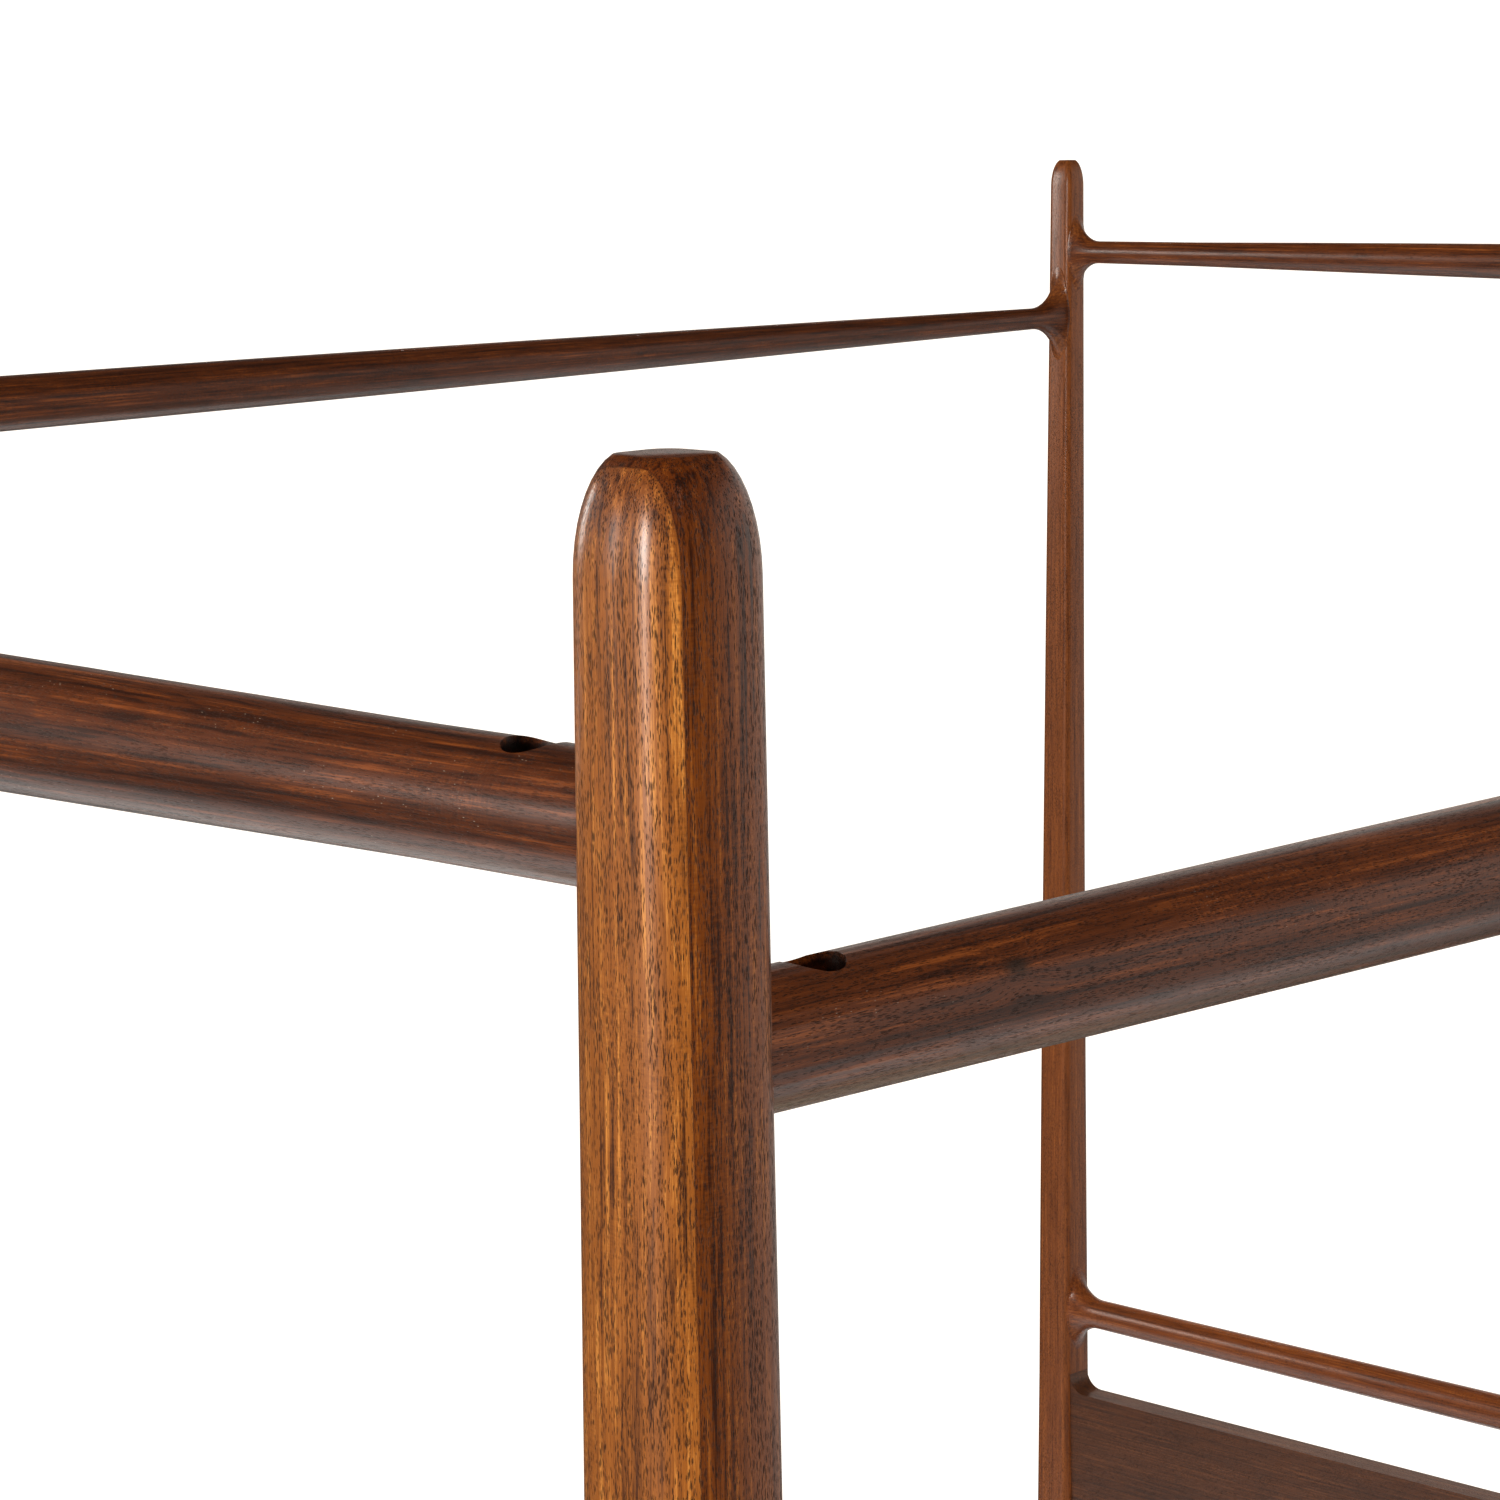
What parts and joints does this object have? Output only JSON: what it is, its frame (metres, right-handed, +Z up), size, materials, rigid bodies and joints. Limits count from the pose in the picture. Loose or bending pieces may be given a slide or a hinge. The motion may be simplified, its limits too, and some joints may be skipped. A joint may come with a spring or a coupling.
{
  "type": "four-post canopy bed frame",
  "caption": "Wooden four-post bed frame with tapered posts, turned canopy rails bolted on at staggered heights, a panelled headboard and a slatted base on a centre beam.",
  "frame": {"origin": "on the floor, in the middle of the four posts", "axes": "+Z up, +Y towards the head of the bed, +X towards the right-hand posts"},
  "size_m": [1.702, 2.112, 2],
  "materials": {
    "walnut_posts": "satin lacquer over oiled walnut",
    "walnut_rails": "satin lacquer over oiled walnut, darker heartwood",
    "walnut_panel": "satin lacquer over oiled walnut",
    "walnut_bed_rails": "satin lacquer over oiled walnut",
    "pale_hardwood": "sanded and left unfinished",
    "zinc_steel": "bright zinc plate",
    "black_steel": "black oxide",
    "brass": "turned",
    "webbing": "woven",
    "nylon": "moulded"
  },
  "bodies": {
    "bed_frame": {"foot_post_left": "walnut_posts", "foot_post_right": "walnut_posts", "head_post_left": "walnut_posts", "head_post_right": "walnut_posts", "canopy_rail_foot": "walnut_rails", "canopy_rail_head": "walnut_rails", "canopy_rail_left": "walnut_rails", "canopy_rail_right": "walnut_rails", "headboard_top_rail": "walnut_rails", "headboard_panel": "walnut_panel", "side_rail_left": "walnut_bed_rails", "side_rail_right": "walnut_bed_rails", "foot_rail": "walnut_bed_rails", "head_rail": "walnut_bed_rails", "canopy_hanger_bolts": "zinc_steel", "canopy_half_moon_washers": "zinc_steel", "canopy_hex_nuts": "zinc_steel", "bed_barrel_nuts": "zinc_steel", "cleat_screws": "zinc_steel", "strap_staples": "zinc_steel", "bracket_screws": "zinc_steel", "leg_hanger_bolts": "zinc_steel", "canopy_connector_bolts": "black_steel", "bed_bolts": "black_steel", "beam_bracket_foot": "black_steel", "beam_bracket_head": "black_steel", "canopy_rail_inserts": "brass", "leg_inserts": "brass", "headboard_dowels": "pale_hardwood", "slat_cleat_left": "pale_hardwood", "slat_cleat_right": "pale_hardwood", "centre_beam": "pale_hardwood", "slat_01": "pale_hardwood", "slat_02": "pale_hardwood", "slat_03": "pale_hardwood", "slat_04": "pale_hardwood", "slat_05": "pale_hardwood", "slat_06": "pale_hardwood", "slat_07": "pale_hardwood", "slat_08": "pale_hardwood", "slat_09": "pale_hardwood", "slat_10": "pale_hardwood", "slat_11": "pale_hardwood", "slat_12": "pale_hardwood", "slat_13": "pale_hardwood", "slat_14": "pale_hardwood", "slat_15": "pale_hardwood", "slat_16": "pale_hardwood", "strap_left": "webbing", "strap_right": "webbing", "post_glides": "nylon", "centre_leg_front": "walnut_posts", "centre_leg_middle": "walnut_posts", "centre_leg_rear": "walnut_posts"},
    "levelling_foot_front": {"levelling_foot_front": "nylon"},
    "levelling_foot_middle": {"levelling_foot_middle": "nylon"},
    "levelling_foot_rear": {"levelling_foot_rear": "nylon"}
  },
  "joints": [
    {"name": "level_front", "type": "slide", "parent": "bed_frame", "child": "levelling_foot_front", "axis": [0, 0, -1], "range_m": [0, 0.02]},
    {"name": "level_middle", "type": "slide", "parent": "bed_frame", "child": "levelling_foot_middle", "axis": [0, 0, -1], "range_m": [0, 0.02]},
    {"name": "level_rear", "type": "slide", "parent": "bed_frame", "child": "levelling_foot_rear", "axis": [0, 0, -1], "range_m": [0, 0.02]}
  ]
}
